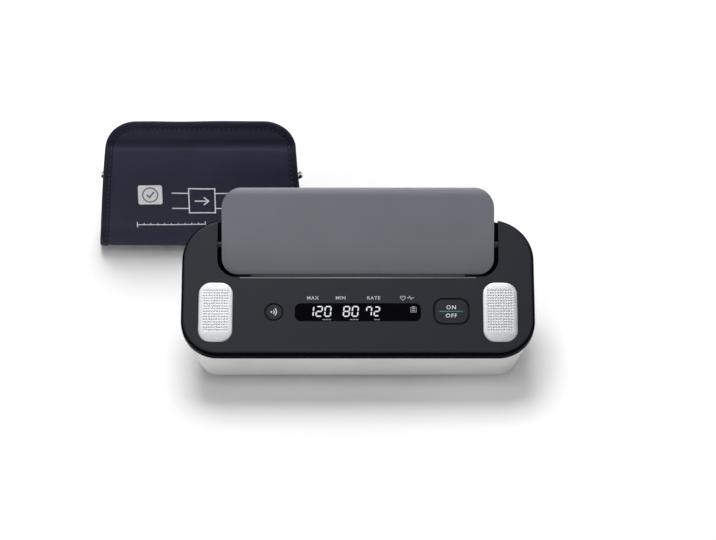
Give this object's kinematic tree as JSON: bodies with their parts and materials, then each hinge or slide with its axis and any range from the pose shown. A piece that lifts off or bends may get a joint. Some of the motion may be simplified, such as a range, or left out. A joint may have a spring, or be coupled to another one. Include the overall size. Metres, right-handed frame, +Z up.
{
  "type": "blood pressure monitor with ecg",
  "caption": "Desktop blood pressure monitor with sloping panel, thumb electrodes, keys, window and swing-up phone rest, with its rolled arm cuff.",
  "frame": {"origin": "on the table, under the middle of the set of monitor and cuff", "axes": "+X to the user's right, +Y away from the user, +Z up"},
  "size_m": [0.265, 0.175, 0.085],
  "materials": {
    "charcoal_shell": "satin moulded",
    "charcoal_keys": "satin moulded",
    "white_shell": "satin moulded",
    "grey_rest": "satin moulded",
    "black_rubber": "matte",
    "gloss_window": "polished",
    "inner_black": "moulded",
    "electrode_plate": "bead blasted plated",
    "contact_brass": "plated",
    "contact_steel": "plated",
    "circuit_board": "solder mask",
    "screw_steel": "zinc plated",
    "pin_steel": "ground",
    "washer_nylon": "moulded",
    "motor_steel": "drawn",
    "pump_plastic": "moulded",
    "tube_rubber": "smooth",
    "battery_can": "plain sleeve",
    "cuff_cloth": "coated nylon",
    "cuff_edging": "woven tape",
    "cuff_lining": "brushed nylon",
    "bladder_rubber": "smooth",
    "core_plastic": "sheet",
    "ring_chrome": "plated",
    "hook_tape": "hook tape",
    "inlet_plastic": "moulded"
  },
  "bodies": {
    "monitor": {"top_shell": "charcoal_shell", "base_shell": "white_shell", "rubber_feet": "black_rubber", "case_screws": "screw_steel", "rest_pins": "pin_steel", "rest_washers": "washer_nylon", "ledge_pad": "black_rubber", "display_lens": "gloss_window", "display_frame": "inner_black", "display_module": "inner_black", "start_stop_switch": "inner_black", "connection_switch": "inner_black", "left_electrode": "electrode_plate", "right_electrode": "electrode_plate", "left_side_electrode": "electrode_plate", "right_side_electrode": "electrode_plate", "electrode_contacts": "contact_brass", "main_board": "circuit_board", "board_screws": "screw_steel", "buzzer": "inner_black", "pump_motor": "motor_steel", "pump_head": "pump_plastic", "pump_cradle": "black_rubber", "release_valve": "motor_steel", "air_block": "pump_plastic", "pressure_sensor": "inner_black", "air_tubes": "tube_rubber", "air_jack": "white_shell", "dc_jack": "inner_black", "dc_jack_pin": "contact_brass", "battery_cells": "battery_can", "battery_contacts": "contact_steel"},
    "rest": {"phone_rest": "grey_rest"},
    "start_key": {"start_stop_button": "charcoal_keys"},
    "link_key": {"connection_button": "charcoal_keys"},
    "door": {"battery_door": "white_shell"},
    "cuff": {"cuff_tail": "cuff_cloth", "cuff_binding": "cuff_edging", "cuff_cover": "cuff_lining", "cuff_bladder": "bladder_rubber", "cuff_core": "core_plastic", "cuff_d_ring": "ring_chrome", "cuff_hook_patch": "hook_tape", "cuff_air_inlet": "inlet_plastic"}
  },
  "joints": [
    {"name": "rest_hinge", "type": "hinge", "parent": "monitor", "child": "rest", "pos_m": [0.028, -0.02285, 0.05833], "axis": [1, 0, 0], "range_deg": [-28, 0]},
    {"name": "start_press", "type": "slide", "parent": "monitor", "child": "start_key", "axis": [0, 0.3907, -0.9205], "range_m": [0, 0.0006], "stiffness_N_per_m": 900, "springref_m": -0.001},
    {"name": "link_press", "type": "slide", "parent": "monitor", "child": "link_key", "axis": [0, 0.3907, -0.9205], "range_m": [0, 0.0006], "stiffness_N_per_m": 900, "springref_m": -0.001},
    {"name": "door_hinge", "type": "hinge", "parent": "monitor", "child": "door", "pos_m": [0.028, -0.06144, 0.0022], "axis": [-1, 0, 0], "range_deg": [0, 60]},
    {"name": "cuff_lift", "type": "slide", "parent": "monitor", "child": "cuff", "axis": [0, 0, 1], "range_m": [0, 0.12]}
  ]
}
